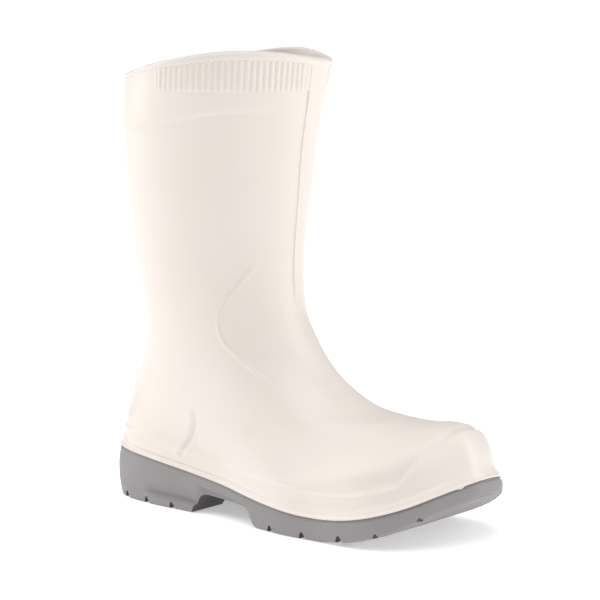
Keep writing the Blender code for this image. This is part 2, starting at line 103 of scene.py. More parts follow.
# Outsole
HEEL_SIDE = 0.0356
BALL_SIDE = 0.0149
TOE_SIDE = 0.0102
TOE_SPRING = 0.0329
HEEL_TUCK = 0.0030
TUCK_RUN = 0.0180
HEEL_FRONT = 0.093
HEEL_SLANT = 0.0095
ARCH_HEIGHT = 0.0138
ARCH_FALL = 0.0018
CHANNEL_WIDTH = 0.021
CHANNEL_HEIGHT = 0.011
CHANNEL_REACH = 0.026
FOREFOOT_REAR = 0.160
FOREFOOT_SLANT = 0.0115
NECK_INSET = 0.0010
NECK_HEIGHT = 0.0013
LEDGE_PROUD = 0.0009
NOTCH_WIDTH = 0.0058
NOTCH_DEPTH = 0.0050
NOTCH_REACH = 0.012

# Columns round the upper, the sole, the lining and the footbed
UPPER_COLUMNS = 340
SOLE_COLUMNS = 300
LINING_COLUMNS = 180
FOOTBED_COLUMNS = 200

# Footbed
INSOLE_THICKNESS = 0.0040
INSOLE_CLEARANCE = 0.0012
GAP = 0.0003

# Half widths of the sole at each share of its length ahead of the heel end, as shares of the
# heel's width and further ahead of the ball's
PlanRow = namedtuple("PlanRow", "along outer inner")
HEEL_PLAN = (
    (0.00, 0.000, 0.000), (0.03, 0.275, 0.265), (0.10, 0.430, 0.425),
    (0.20, 0.485, 0.480), (0.30, 0.500, 0.475),
)
BALL_PLAN = (
    (0.40, 0.380, 0.340), (0.50, 0.431, 0.350), (0.60, 0.474, 0.400),
    (0.69, 0.474, 0.455), (0.76, 0.483, 0.485), (0.83, 0.469, 0.485),
    (0.89, 0.404, 0.450), (0.94, 0.304, 0.375), (0.98, 0.146, 0.240),
    (1.00, 0.000, 0.000),
)
PLAN = [
    PlanRow(along, outer * width, inner * width)
    for width, plan in ((HEEL_WIDTH, HEEL_PLAN), (BALL_WIDTH, BALL_PLAN))
    for along, outer, inner in plan
]

# Feather line: its fall from the heel to the ball, and its climb from the ball to the toe
FeatherRow = namedtuple("FeatherRow", "along fall climb")
FEATHER = [FeatherRow(*row) for row in (
    (0, 0, 0), (0.12, 0.121, 0), (0.25, 0.325, 0),
    (0.4, 0.597, 0), (0.55, 0.875, 0), (0.7, 1, 0),
    (0.8, 1, 0.134), (0.9, 1, 0.449), (1, 1, 1),
)]

# Underside: its lift from the floor, as a share of the toe spring
TreadRow = namedtuple("TreadRow", "along lift")
TREAD = [TreadRow(*row) for row in (
    (0, 0.03), (0.05, 0), (0.7, 0), (0.74, 0.05),
    (0.78, 0.088), (0.82, 0.174), (0.86, 0.286), (0.9, 0.457),
    (0.93, 0.614), (0.965, 0.81), (1, 1),
)]

# Notches in the sides of the tread, as shares of the sole's length ahead of the heel end
NOTCHES = [0.088, 0.164, 0.248, 0.566, 0.659, 0.761, 0.850, 0.930]

# Rim height round the collar, in degrees from the back through the outer side
RimRow = namedtuple("RimRow", "turn rise")
RIM = [RimRow(*row) for row in (
    (0, -1.50), (45, -1.80), (90, -0.15), (130, 1.00), (155, 0.90),
    (180, 0.30), (222, -0.30), (265, 0.35), (310, -0.60), (360, -1.50),
)]

# Shaft from the collar (0) to the ankle (1)
ShaftRow = namedtuple("ShaftRow", "way bow depth width")
SHAFT = [ShaftRow(*row) for row in (
    (0, 0, 0, 0), (0.12, 0.3, 0.02, 0.08),
    (0.39, 0.91, 0.19, 0.33), (0.57, 1, 0.38, 0.55),
    (0.69, 0.91, 0.68, 0.72), (0.87, 0.6, 0.97, 0.9),
    (1, 0, 1, 1),
)]

# Rings of the foot: shares of the sole's length at back and front, of the ankle's height at the
# back and the sides, front height, half widths, share of the plan outline, rise and lean
Ring = namedtuple("Ring", "back front back_height side_height front_height outer inner plan rise lean")
HALF_ANKLE = ANKLE_WIDTH / 2
HALF_BALL = BALL_WIDTH / 2
FootRow = namedtuple("FootRow", "back front rear side top outer inner plan rise lean")
FOOT = [FootRow(*row) for row in (
    (0.0913, 0.5332, 0.8695, 0.8510, 1.1915 * INSTEP_HEIGHT,
     0.980 * HALF_ANKLE, 0.980 * HALF_ANKLE, 0.00, 2.0, 0.20),
    (0.0773, 0.5921, 0.7467, 0.7021, 0.9839 * INSTEP_HEIGHT,
     0.970 * HALF_ANKLE, 0.960 * HALF_ANKLE, 0.00, 2.0, 0.40),
    (0.0515, 0.7071, 0.6342, 0.5622, 0.9923 * TOE_BOX_HEIGHT,
     0.950 * HALF_ANKLE, 0.940 * HALF_ANKLE, 0.02, 2.0, 0.70),
    (0.0298, 0.7911, 0.5413, 0.4426, 0.9674 * TOE_BOX_HEIGHT,
     0.742 * HALF_BALL, 0.740 * HALF_BALL, 0.08, 2.2, 0.90),
    (0.0253, 0.8501, 0.4774, 0.3478, 0.9703 * TOE_BOX_HEIGHT,
     0.804 * HALF_BALL, 0.800 * HALF_BALL, 0.45, 2.8, 1.00),
    (0.0219, 0.8952, 0.4281, 0.2680, 0.9854 * TOE_BOX_HEIGHT,
     0.854 * HALF_BALL, 0.860 * HALF_BALL, 0.85, 3.6, 0.90),
    (0.0206, 0.9380, 0.3838, 0.2277, 0.9512 * TOE_BOX_HEIGHT,
     0.882 * HALF_BALL, 0.894 * HALF_BALL, 1.00, 3.6, 0.60),
    (0.0193, 0.9694, 0.3493, 0.2025, 0.8028 * TOE_BOX_HEIGHT,
     0.888 * HALF_BALL, 0.900 * HALF_BALL, 1.00, 3.6, 0.30),
)]

# Raised and sunk lines of the mould, as distance ahead of the heel end and height above the floor
LineRow = namedtuple("LineRow", "ahead height")
ANKLE_LINE = [LineRow(*row) for row in (
    (0.1422, 0.1709), (0.1369, 0.1645), (0.1302, 0.1547), (0.1238, 0.1460),
    (0.1200, 0.1379), (0.1186, 0.1303), (0.1199, 0.1227), (0.1241, 0.1162),
    (0.1343, 0.1077), (0.1471, 0.0980), (0.1631, 0.0879),
)]
HEEL_LINE = [LineRow(*row) for row in (
    (0.0962, 0.0672), (0.0965, 0.0598), (0.0936, 0.0540), (0.0872, 0.0459),
    (0.0821, 0.0379),
)]

# Upper edge of the soft step round the collar, in degrees from the back through the outer side
StepRow = namedtuple("StepRow", "turn height")
COLLAR_STEP = [StepRow(*row) for row in (
    (0, 0.2499), (40, 0.2506), (78, 0.2606), (96, 0.2646),
    (120, 0.2700), (145, 0.2713), (180, 0.2696), (215, 0.2708),
    (264, 0.2646), (320, 0.2506), (360, 0.2499),
)]


def length_setting(name, description, default, low=-10.0, high=10.0):
    return FloatProperty(
        name=name, description=description, default=default, min=low, max=high, unit="LENGTH"
    )


def angle_setting(name, description, degrees):
    default = math.radians(degrees)
    return FloatProperty(name=name, description=description, default=default, subtype="ANGLE")


def colour_setting(name, description, default):
    return FloatVectorProperty(
        name=name, description=description, default=default, min=0, max=1, size=3, subtype="COLOR"
    )


class BootSizes(bpy.types.PropertyGroup):
    rib_pitch: length_setting(
        "Rib pitch", "Run of the rim from one grip rib to the next", 0.00407, 0.002, 0.010
    )
    rib_proud: length_setting(
        "Rib depth", "How far the grip ribs stand out of the shaft", 0.0011, 0.0001, 0.002
    )
    seam_depth: length_setting(
        "Seam depth", "Depth of the parting seam down the front of the shaft", 0.0008, 0.0, 0.002
    )
    seam_place: length_setting(
        "Seam place", "Distance of the front seam from the middle, to the inner side",
        0.0030, -0.010, 0.010,
    )
    line_proud: length_setting(
        "Guard line height", "Height of the raised line round the ankle guard", 0.0009, 0.0, 0.002
    )
    crease_depth: length_setting(
        "Crease depth", "Depth of the crease in front of the heel counter", 0.0011, 0.0, 0.002
    )
    step_depth: length_setting(
        "Collar step", "Depth of the soft step round the shaft below the grip", 0.0012, 0.0, 0.002
    )


class BootColours(bpy.types.PropertyGroup):
    upper: colour_setting(
        "Upper", "Colour of the foamed polyurethane of shaft and foot", (0.78, 0.722, 0.672)
    )
    sole: colour_setting(
        "Outsole", "Colour of the denser polyurethane of the sole", (0.276, 0.261, 0.267)
    )
    lining: colour_setting("Lining", "Colour of the knitted lining", (0.70, 0.66, 0.60))
    footbed: colour_setting("Footbed", "Colour of the footbed cloth", (0.50, 0.49, 0.47))
    floor: colour_setting("Floor", "Colour of the studio floor", (0.90, 0.90, 0.90))


class StageSettings(bpy.types.PropertyGroup):
    azimuth: angle_setting(
        "Camera azimuth", "Turn of the camera round the boot from the front", -49.58
    )
    elevation: angle_setting("Camera elevation", "Angle of the camera above the horizon", 8.55)
    roll: angle_setting("Camera roll", "Turn of the camera about its own line of sight", -0.76)
    distance: length_setting(
        "Camera distance", "Distance from the camera to the point it looks at", 1.7, 0.5
    )
    frame_width: length_setting(
        "Frame width", "Width of the view at the point the camera looks at", 0.39515, 0.1
    )
    aim_height: length_setting("Aim height", "Height of the point the camera looks at", 0.1439)
    aim_aside: length_setting(
        "Aim offset", "How far that point lies to the right of the middle", 0.0028
    )


def sizes():
    return bpy.context.scene.boot_sizes


def colours():
    return bpy.context.scene.boot_colours


# Form of the boot


def smooth(place, knots, values):
    """Value at each place of a smooth curve through the knots."""
    knots = np.asarray(knots, float)
    values = np.asarray(values, float)
    slopes = np.gradient(values, knots)
    left = np.clip(np.searchsorted(knots, place, side="right") - 1, 0, len(knots) - 2)
    run = knots[left + 1] - knots[left]
    share = (place - knots[left]) / run
    rest = 1 - share
    near = (1 + 2 * share) * rest**2 * values[left] + share * rest**2 * run * slopes[left]
    far = share**2 * (3 - 2 * share) * values[left + 1] - share**2 * rest * run * slopes[left + 1]
    return near + far


def eased(share):
    """Share from 0 to 1 with soft ends."""
    share = np.clip(share, 0, 1)
    return share * share * (3 - 2 * share)


def column(table, name):
    return [getattr(row, name) for row in table]


def feather_height(y):
    along = np.clip(0.5 - y / SOLE_LENGTH, 0, 1)
    fall = smooth(along, column(FEATHER, "along"), column(FEATHER, "fall"))
    climb = smooth(along, column(FEATHER, "along"), column(FEATHER, "climb"))
    toe_height = TOE_SIDE + TOE_SPRING
    return HEEL_SIDE - fall * (HEEL_SIDE - BALL_SIDE) + climb * (toe_height - BALL_SIDE)


def tread_height(y):
    along = np.clip(0.5 - y / SOLE_LENGTH, 0, 1)
    return TOE_SPRING * np.interp(along, column(TREAD, "along"), column(TREAD, "lift"))


def even_turns(count):
    return 2 * math.pi * np.arange(count) / count


def plan_half_widths(turn):
    angle = np.minimum(turn, 2 * math.pi - turn)
    knots = np.arccos(1 - 2 * np.array(column(PLAN, "along")))
    outer = smooth(angle, knots, column(PLAN, "outer"))
    inner = smooth(angle, knots, column(PLAN, "inner"))
    return np.where(turn <= math.pi, outer, inner)


def sides(turn):
    return np.where(turn <= math.pi, -1.0, 1.0)


def plan_outline(turn):
    y = SOLE_LENGTH * (0.5 - (1 - np.cos(turn)) / 2)
    return np.column_stack([sides(turn) * plan_half_widths(turn), y, 0 * y])


def pushed(ring, distance):
    tangent = np.roll(ring, -1, axis=0) - np.roll(ring, 1, axis=0)
    normal = np.column_stack([tangent[:, 1], -tangent[:, 0], 0 * tangent[:, 2]])
    normal /= np.linalg.norm(normal, axis=1)[:, None]
    return ring + np.reshape(distance, (-1, 1)) * normal


def level(ring, height):
    return np.column_stack([ring[:, 0], ring[:, 1], height * np.ones(len(ring))])


def shaft_rings():
    found = []
    for row in SHAFT:
        height = BOOT_HEIGHT + row.way * (ANKLE_HEIGHT - BOOT_HEIGHT)
        half = (COLLAR_WIDTH + row.width * (ANKLE_WIDTH - COLLAR_WIDTH)) / 2
        reach = (COLLAR_DEPTH + row.depth * (ANKLE_DEPTH - COLLAR_DEPTH)) / 2
        centre = COLLAR_CENTRE + row.way * (ANKLE_CENTRE - COLLAR_CENTRE) - row.bow * CALF_BOW
        back, front = centre - reach, centre + reach
        tilt = SHAFT_TILT * reach
        found.append(Ring(
            back, front, height + tilt, height, height - tilt, half, half, 0.0, 2.0, 0.0
        ))
    return found


def foot_rings():
    found = []
    for row in FOOT:
        found.append(Ring(
            row.back * SOLE_LENGTH, row.front * SOLE_LENGTH,
            row.rear * ANKLE_HEIGHT, row.side * ANKLE_HEIGHT, row.top,
            row.outer, row.inner, row.plan, row.rise, row.lean * TOE_LEAN,
        ))
    back, middle, front = feather_height(SOLE_LENGTH * np.array([0.5, -0.2, -0.5])) + LIP_HEIGHT
    outer = max(column(PLAN, "outer")) - LIP_PROUD
    inner = max(column(PLAN, "inner")) - LIP_PROUD
    found.append(Ring(
        LIP_PROUD, SOLE_LENGTH - LIP_PROUD, back, middle, front, outer, inner, 1.0, 3.6, 0.0
    ))
    return found


RINGS = shaft_rings() + foot_rings()


def ring_places():
    backs = np.array([(ring.back, ring.back_height) for ring in RINGS])
    fronts = np.array([(ring.front, ring.front_height) for ring in RINGS])
    travel = np.linalg.norm(np.diff(backs, axis=0), axis=1)
    travel += np.linalg.norm(np.diff(fronts, axis=0), axis=1)
    return np.concatenate([[0], np.cumsum(travel / 2)])


PLACES = ring_places()


def bowed(along, back, side, front, rise):
    return side + (back - side) * (1 - along) ** rise + (front - side) * along**rise


def skin(place, turn):
    """Points of the plain outer face, a row for each place down the boot, a column for each turn."""
    place = np.clip(place, PLACES[0], PLACES[-1])[:, None]
    turn = np.mod(turn, 2 * math.pi)[None, :]
    ring = Ring(*[smooth(place, PLACES, column(RINGS, name)) for name in Ring._fields])
    along = (1 - np.cos(turn)) / 2
    half = np.where(turn <= math.pi, ring.outer, ring.inner)
    widest = np.where(turn <= math.pi, max(column(PLAN, "outer")), max(column(PLAN, "inner")))
    ellipse = half * np.abs(np.sin(turn))
    shaped = half * plan_half_widths(turn) / widest
    x = sides(turn) * (ellipse + ring.plan * (shaped - ellipse)) + ring.lean * along**2
    y = SOLE_LENGTH / 2 - ring.back - (ring.front - ring.back) * along
    z = bowed(along, ring.back_height, ring.side_height, ring.front_height, ring.rise)
    last = RINGS[-1]
    flat = bowed(along, last.back_height, last.side_height, last.front_height, ring.rise)
    z = z + ring.plan * (feather_height(SOLE_LENGTH * (0.5 - along)) + LIP_HEIGHT - flat)
    return np.stack(np.broadcast_arrays(x, y, z), axis=2)


def skin_normals(place, turn):
    step = 0.0006
    place = np.clip(place, PLACES[0] + step, PLACES[-1] - step)
    down = skin(place + step, turn) - skin(place - step, turn)
    around = skin(place, turn + step) - skin(place, turn - step)
    normal = np.cross(down, around)
    return normal / np.linalg.norm(normal, axis=2)[:, :, None]


def place_at(height):
    shaft = column(RINGS[: len(SHAFT)], "side_height")
    return np.interp(-np.asarray(height), -np.array(shaft), PLACES[: len(SHAFT)])


def rim_lift(heights, turn):
    foot = BOOT_HEIGHT - BEAD_HEIGHT - BAND_HEIGHT
    share = np.clip((heights - foot) / (BOOT_HEIGHT - foot), 0, 1)
    wave = smooth(np.degrees(turn), column(RIM, "turn"), column(RIM, "rise"))
    return RIM_WAVE * wave[None, :] * share


def shell(place, turn, offset):
    """Points at an offset from the plain outer face, with the wave of the rim."""
    points = skin(place, turn)
    found = points + skin_normals(place, turn) * (offset * np.ones(points.shape[:2]))[:, :, None]
    found[:, :, 2] += rim_lift(points[:, :, 2], turn)
    return found


# Relief left by the mould


def line_distance(ahead, height, line):
    """Distance to a line in the side view, and the share of the line at the nearest point."""
    knots = np.array([(row.ahead, row.height) for row in line])
    runs = np.linalg.norm(np.diff(knots, axis=0), axis=1)
    starts = np.concatenate([[0], np.cumsum(runs)])
    nearest = np.full(np.shape(ahead), 1.0)
    share = np.zeros(np.shape(ahead))
    for i, run in enumerate(runs):
        direction = (knots[i + 1] - knots[i]) / run
        way = (ahead - knots[i, 0]) * direction[0] + (height - knots[i, 1]) * direction[1]
        way = np.clip(way, 0, run)
        apart = np.hypot(
            ahead - knots[i, 0] - way * direction[0], height - knots[i, 1] - way * direction[1]
        )
        closer = apart < nearest
        nearest = np.where(closer, apart, nearest)
        share = np.where(closer, (starts[i] + way) / starts[-1], share)
    return nearest, share


def bell(distance, width):
    return np.exp(-((distance / width) ** 2))


def tuck(y):
    """How far the feather line is drawn in at the back of the heel."""
    return HEEL_TUCK * np.clip(1 - (SOLE_LENGTH / 2 - y) / TUCK_RUN, 0, 1)


def guard_relief(points):
    """Toe cap, the guard round the foot and the flare down to the sole, proud of the upper."""
    above = points[:, :, 2] - feather_height(points[:, :, 1])
    ahead = SOLE_LENGTH / 2 - points[:, :, 1]
    cap = ahead - TOE_CAP_START - TOE_CAP_LEAN * above
    inside = np.maximum(GUARD_HEIGHT - above, cap)
    side = eased((ahead - 0.150) / 0.030)
    bead = GUARD_BEAD * side * bell(inside - 0.5 * GUARD_RUN, 0.0013)
    hollow = GUARD_HOLLOW * eased((ahead - 0.190) / 0.040) * bell(inside + 0.0045, 0.0042)
    flare = np.clip((FLARE_HEIGHT - above) / (FLARE_HEIGHT - LIP_HEIGHT), 0, 1)
    flare = FLARE_PROUD * flare**2 * (1 - tuck(points[:, :, 1]) / HEEL_TUCK)
    return GUARD_PROUD * eased(inside / GUARD_RUN) + bead - hollow + flare


def relief(points, turn):
    """How far each point of the outer face stands out of the plain form or is sunk in it."""
    s = sizes()
    x, y, z = points[:, :, 0], points[:, :, 1], points[:, :, 2]
    ahead = SOLE_LENGTH / 2 - y
    degrees = np.degrees(turn)[None, :] * np.ones(x.shape)
    found = guard_relief(points)

    distance, share = line_distance(ahead, z, ANKLE_LINE)
    ends = eased(share / 0.10) * eased((1 - share) / 0.22)
    found += s.line_proud * bell(distance, 0.0010) * ends

    distance, share = line_distance(ahead, z, HEEL_LINE)
    ends = eased((share + 0.25) / 0.35)
    found -= s.crease_depth * bell(distance, 0.0014) * ends
    found += 0.4 * s.crease_depth * bell(distance - 0.003, 0.003) * ends * (ahead < 0.094)

    step = smooth(degrees, column(COLLAR_STEP, "turn"), column(COLLAR_STEP, "height"))
    front_fade = eased(np.abs(degrees - 176) / 30)
    foot = BOOT_HEIGHT - BEAD_HEIGHT - BAND_HEIGHT
    top_fade = 1 - eased((z - foot + 0.002) / 0.008)
    low_fade = eased((z - 0.17) / 0.08)
    found -= s.step_depth * eased((step - z) / 0.0026) * front_fade * low_fade * top_fade

    front = (degrees > 150) & (degrees < 210)
    seam_fade = eased((z - 0.128) / 0.030)
    apart = x - s.seam_place
    found -= s.seam_depth * bell(apart, 0.00065) * seam_fade * front
    found += 0.25 * s.seam_depth * bell(np.abs(apart) - 0.0016, 0.0009) * seam_fade * front
    back = (degrees < 25) | (degrees > 335)
    found -= 0.35 * s.seam_depth * bell(x, 0.0009) * eased((z - 0.06) / 0.02) * back

    crease = bell(z - 0.186, 0.0018) * bell(degrees - 168, 9)
    bend_one = bell(z - 0.128 - 0.10 * (x * x) / 0.04, 0.006) * bell(degrees - 180, 42)
    bend_two = bell(z - 0.108 - 0.10 * (x * x) / 0.04, 0.005) * bell(degrees - 180, 34)
    found -= 0.00035 * crease + 0.00025 * bend_one + 0.00018 * bend_two

    wave = np.sin(41 * z + 2.1 * np.sin(3 * turn)[None, :]) * np.sin(2 * turn + 0.6)[None, :]
    found += 0.00022 * wave * eased((0.27 - z) / 0.03) * eased((z - 0.04) / 0.03)
    return found


# Mesh helpers


def one_object(name):
    piece = bpy.context.active_object
    piece.name = name
    piece.data.name = name
    return piece


def deselect():
    if bpy.context.mode != "OBJECT":
        bpy.ops.object.mode_set(mode="OBJECT")
    bpy.ops.object.select_all(action="DESELECT")


def woven_grid(name, stack, loop):
    """A grid primitive laid over a stack of rings and welded into a tube, or into a closed loop."""
    rows, columns = stack.shape[:2]
    deselect()
    bpy.ops.mesh.primitive_grid_add(
        x_subdivisions=columns, y_subdivisions=rows if loop else rows - 1, size=1.0
    )
    piece = one_object(name)
    wide = np.concatenate([stack, stack[:, :1]], axis=1)
    if loop:
        wide = np.concatenate([wide, wide[:1]], axis=0)
    piece.data.vertices.foreach_set("co", wide.reshape(-1))
    bpy.ops.object.mode_set(mode="EDIT")
    bpy.ops.mesh.select_all(action="SELECT")
    bpy.ops.mesh.remove_doubles(threshold=0.000005)
    bpy.ops.mesh.normals_make_consistent(inside=False)
    bpy.ops.mesh.select_all(action="DESELECT")
    bpy.ops.object.mode_set(mode="OBJECT")
    return piece


def finish_piece(piece, node, material, angle=50):
    piece.data.materials.clear()
    piece.data.materials.append(material)
    piece.data.shade_smooth()
    piece.data.set_sharp_from_angle(angle=math.radians(angle))
    if node:
        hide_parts(node)
    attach(piece, "root")
    return piece


def write_painted_shade(piece, depth):
    """Stores the painted shade of each point: how much the colour of a groove is darkened to stand for
    the shade that falls in it.
    """
    layer = piece.data.attributes.new("recess", "FLOAT", "POINT")
    layer.data.foreach_set("value", np.asarray(depth, np.float32))


# Materials


# Painted shade: how far the walls that the arch, the channel and the notches are cut with are
# darkened, standing for the shade that falls in them
WALL_PAINTED_SHADE = 0.30


def new_material(name):
    material = bpy.data.materials.new(name)
    material.use_nodes = True
    nodes, links = material.node_tree.nodes, material.node_tree.links
    return material, nodes, links, nodes["Principled BSDF"]


def set_inputs(node, values):
    for name, value in values.items():
        node.inputs[name].default_value = value


def noise(nodes, links, source, scale, detail=2.0, roughness=0.5):
    found = nodes.new("ShaderNodeTexNoise")
    set_inputs(found, {"Scale": scale, "Detail": detail, "Roughness": roughness})
    links.new(source, found.inputs["Vector"])
    return found.outputs["Fac"]


def ranged(nodes, links, source, low, high, to_low, to_high):
    found = nodes.new("ShaderNodeMapRange")
    set_inputs(found, {"From Min": low, "From Max": high, "To Min": to_low, "To Max": to_high})
    links.new(source, found.inputs["Value"])
    return found.outputs["Result"]


def blended(nodes, links, factor, first, second):
    found = nodes.new("ShaderNodeMix")
    found.data_type = "RGBA"
    links.new(factor, found.inputs["Factor"])
    for socket, value in ((found.inputs[6], first), (found.inputs[7], second)):
        if isinstance(value, bpy.types.NodeSocket):
            links.new(value, socket)
        else:
            socket.default_value = (*value, 1.0)
    return found.outputs[2]


def bump(nodes, links, height, distance, strength, below=None):
    found = nodes.new("ShaderNodeBump")
    set_inputs(found, {"Distance": distance, "Strength": strength})
    links.new(height, found.inputs["Height"])
    if below is not None:
        links.new(below, found.inputs["Normal"])
    return found.outputs["Normal"]


# Reads the painted shade stored on the piece, by point or by face.
def painted_shade_amount(nodes):
    found = nodes.new("ShaderNodeAttribute")
    found.attribute_name = "recess"
    return found.outputs["Fac"]


def add_grain(nodes, links, shader, place, coarse, fine):
    """Coarse and fine bumps of the skin, each as scale, detail, distance and strength."""
    below = None
    for scale, detail, distance, strength in (coarse, fine):
        height = noise(nodes, links, place, scale, detail)
        below = bump(nodes, links, height, distance, strength, below)
    links.new(below, shader.inputs["Normal"])


def shaded(colour, factor):
    return tuple(min(1.0, channel * factor) for channel in colour)


def upper_material():
    """Satin foamed polyurethane with a fine skin, slight mottling and painted shade in the grooves."""
    material, nodes, links, shader = new_material("white polyurethane skin")
    place = nodes.new("ShaderNodeTexCoord").outputs["Object"]
    colour = tuple(colours().upper)
    warm = (colour[0] * 0.985, colour[1] * 0.972, colour[2] * 0.950)
    mottle = ranged(nodes, links, noise(nodes, links, place, 14.0, 3.0), 0.35, 0.65, 0.0, 1.0)
    base = blended(nodes, links, mottle, colour, warm)
    # Painted shade: the colour is darkened towards a dark brown where the piece stores painted shade
    # in its grooves.
    depth = ranged(nodes, links, painted_shade_amount(nodes), 0.0, 1.0, 0.0, 0.55)
    base = blended(nodes, links, depth, base, (0.50, 0.43, 0.36))
    links.new(base, shader.inputs["Base Color"])
    smear = noise(nodes, links, place, 48.0, 4.0, 0.6)
    links.new(ranged(nodes, links, smear, 0.3, 0.7, 0.34, 0.46), shader.inputs["Roughness"])
    add_grain(nodes, links, shader, place, (160.0, 2.0, 0.0004, 0.12), (1900.0, 2.0, 0.0001, 0.16))
    set_inputs(shader, {"Specular IOR Level": 0.45, "Coat Weight": 0.15, "Coat Roughness": 0.30})
    return material


def sole_material():
    """Denser polyurethane, matt, with a pebbled skin, faint flow marks along the side and painted
    shade on the cut walls.
    """
    material, nodes, links, shader = new_material("grey polyurethane")
    place = nodes.new("ShaderNodeTexCoord").outputs["Object"]
    colour = tuple(colours().sole)
    mottle = ranged(nodes, links, noise(nodes, links, place, 22.0, 4.0), 0.3, 0.7, 0.0, 1.0)
    base = blended(nodes, links, mottle, shaded(colour, 0.94), shaded(colour, 1.06))
    specks = ranged(nodes, links, noise(nodes, links, place, 620.0, 2.0), 0.60, 0.75, 0.0, 0.35)
    base = blended(nodes, links, specks, base, shaded(colour, 0.80))
    # Painted shade on the cut walls of the arch, the channel and the notches.
    base = blended(nodes, links, painted_shade_amount(nodes), base, shaded(colour, WALL_PAINTED_SHADE))
    links.new(base, shader.inputs["Base Color"])
    smear = noise(nodes, links, place, 60.0, 4.0, 0.6)
    links.new(ranged(nodes, links, smear, 0.3, 0.7, 0.50, 0.64), shader.inputs["Roughness"])
    add_grain(nodes, links, shader, place, (420.0, 3.0, 0.0003, 0.20), (2400.0, 2.0, 0.0001, 0.20))
    set_inputs(shader, {"Specular IOR Level": 0.40})
    return material


def cloth_material(name, colour, wales):
    """Knitted cloth: rows of small loops over the piece's own UV map, with a light nap."""
    material, nodes, links, shader = new_material(name)
    place = nodes.new("ShaderNodeUVMap").outputs["UV"]
    spread = nodes.new("ShaderNodeMapping")
    spread.inputs["Scale"].default_value = (wales, wales, 1.0)
    links.new(place, spread.inputs["Vector"])
    waves = []
    for axis, values in (
        ("Y", {"Scale": 0.5, "Distortion": 0.6, "Detail": 1.0}),
        ("X", {"Scale": 0.7, "Distortion": 0.4}),
    ):
        wave = nodes.new("ShaderNodeTexWave")
        wave.wave_type, wave.bands_direction = "BANDS", axis
        set_inputs(wave, values)
        links.new(spread.outputs["Vector"], wave.inputs["Vector"])
        waves.append(wave)
    both = nodes.new("ShaderNodeMath")
    both.operation = "MULTIPLY"
    for wave, socket in zip(waves, both.inputs):
        links.new(wave.outputs["Fac"], socket)
    base = blended(nodes, links, both.outputs[0], shaded(colour, 0.72), colour)
    links.new(base, shader.inputs["Base Color"])
    knit = bump(nodes, links, both.outputs[0], 0.0004, 0.5)
    fibre = noise(nodes, links, nodes.new("ShaderNodeTexCoord").outputs["Object"], 2600.0, 2.0)
    links.new(bump(nodes, links, fibre, 0.0001, 0.4, knit), shader.inputs["Normal"])
    set_inputs(shader, {
        "Roughness": 0.92, "Sheen Weight": 0.35, "Sheen Roughness": 0.55, "Specular IOR Level": 0.2,
    })
    return material


def add_uv(piece, across, down):
    """UV map in metres: across runs round the piece and down runs along it."""
    layer = piece.data.uv_layers.new(name="UVMap")
    count = len(piece.data.loops)
    corner = np.empty(count, np.int32)
    piece.data.loops.foreach_get("vertex_index", corner)
    points = np.empty(len(piece.data.vertices) * 3, np.float32)
    piece.data.vertices.foreach_get("co", points)
    points = points.reshape(-1, 3)[corner]
    uv = np.column_stack([across(points), down(points)]).astype(np.float32)
    layer.data.foreach_set("uv", uv.reshape(-1))


# Pieces


# Over the rim from the outer face to the inner: drop in bead heights, offset in walls and in
# beads' depth
COLLAR_PROFILE = [
    (1, 0, 0), (0.95, 0, 0.1), (0.88, 0, 0.6), (0.74, 0, 0.95),
    (0.55, 0, 1), (0.38, 0, 0.92), (0.24, 0, 0.62), (0.12, 0, 0.1),
    (0.04, -0.22, 0), (0, -0.42, 0), (0, -0.58, 0), (0.05, -0.8, 0),
    (0.15, -0.95, 0), (0.35, -1, 0),
]

# Down the lip over the sole: distance out in lip depths, and height in lip heights
LIP_PROFILE = [
    (-0.375, 0.93), (-0.335, 0.8), (-0.285, 0.67), (-0.215, 0.54), (-0.125, 0.44),
    (-0.05, 0.37), (0, 0.31), (0, 0.21), (-0.02, 0.12), (-0.07, 0.05),
    (-0.16, 0.04), (-0.32, 0.04),
]


def upper_turns():
    """Columns of the upper, closer together beside the front seam and at the back."""
    even = even_turns(UPPER_COLUMNS)
    seam = math.pi + np.radians(np.linspace(0.4, 6.4, 25))
    back = np.radians(np.array([0.35, 0.7, 359.3, 359.65]))
    return np.unique(np.round(np.concatenate([even, seam, back]), 6))


def upper_places():
    """Places down the outer face, closest where the ankle line and the guard need them."""
    first = place_at(BOOT_HEIGHT - BEAD_HEIGHT) + 0.0008
    found = [first]
    while found[-1] < PLACES[-1]:
        ring = skin(np.array([found[-1]]), np.array([math.radians(115)]))[0, 0]
        fine = 0.095 < ring[2] < 0.175 or ring[2] < 0.062
        collar = ring[2] > 0.245
        found.append(found[-1] + (0.0013 if fine else 0.0016 if collar else 0.0024))
    found[-1] = PLACES[-1] - 0.0012
    return np.array(found)


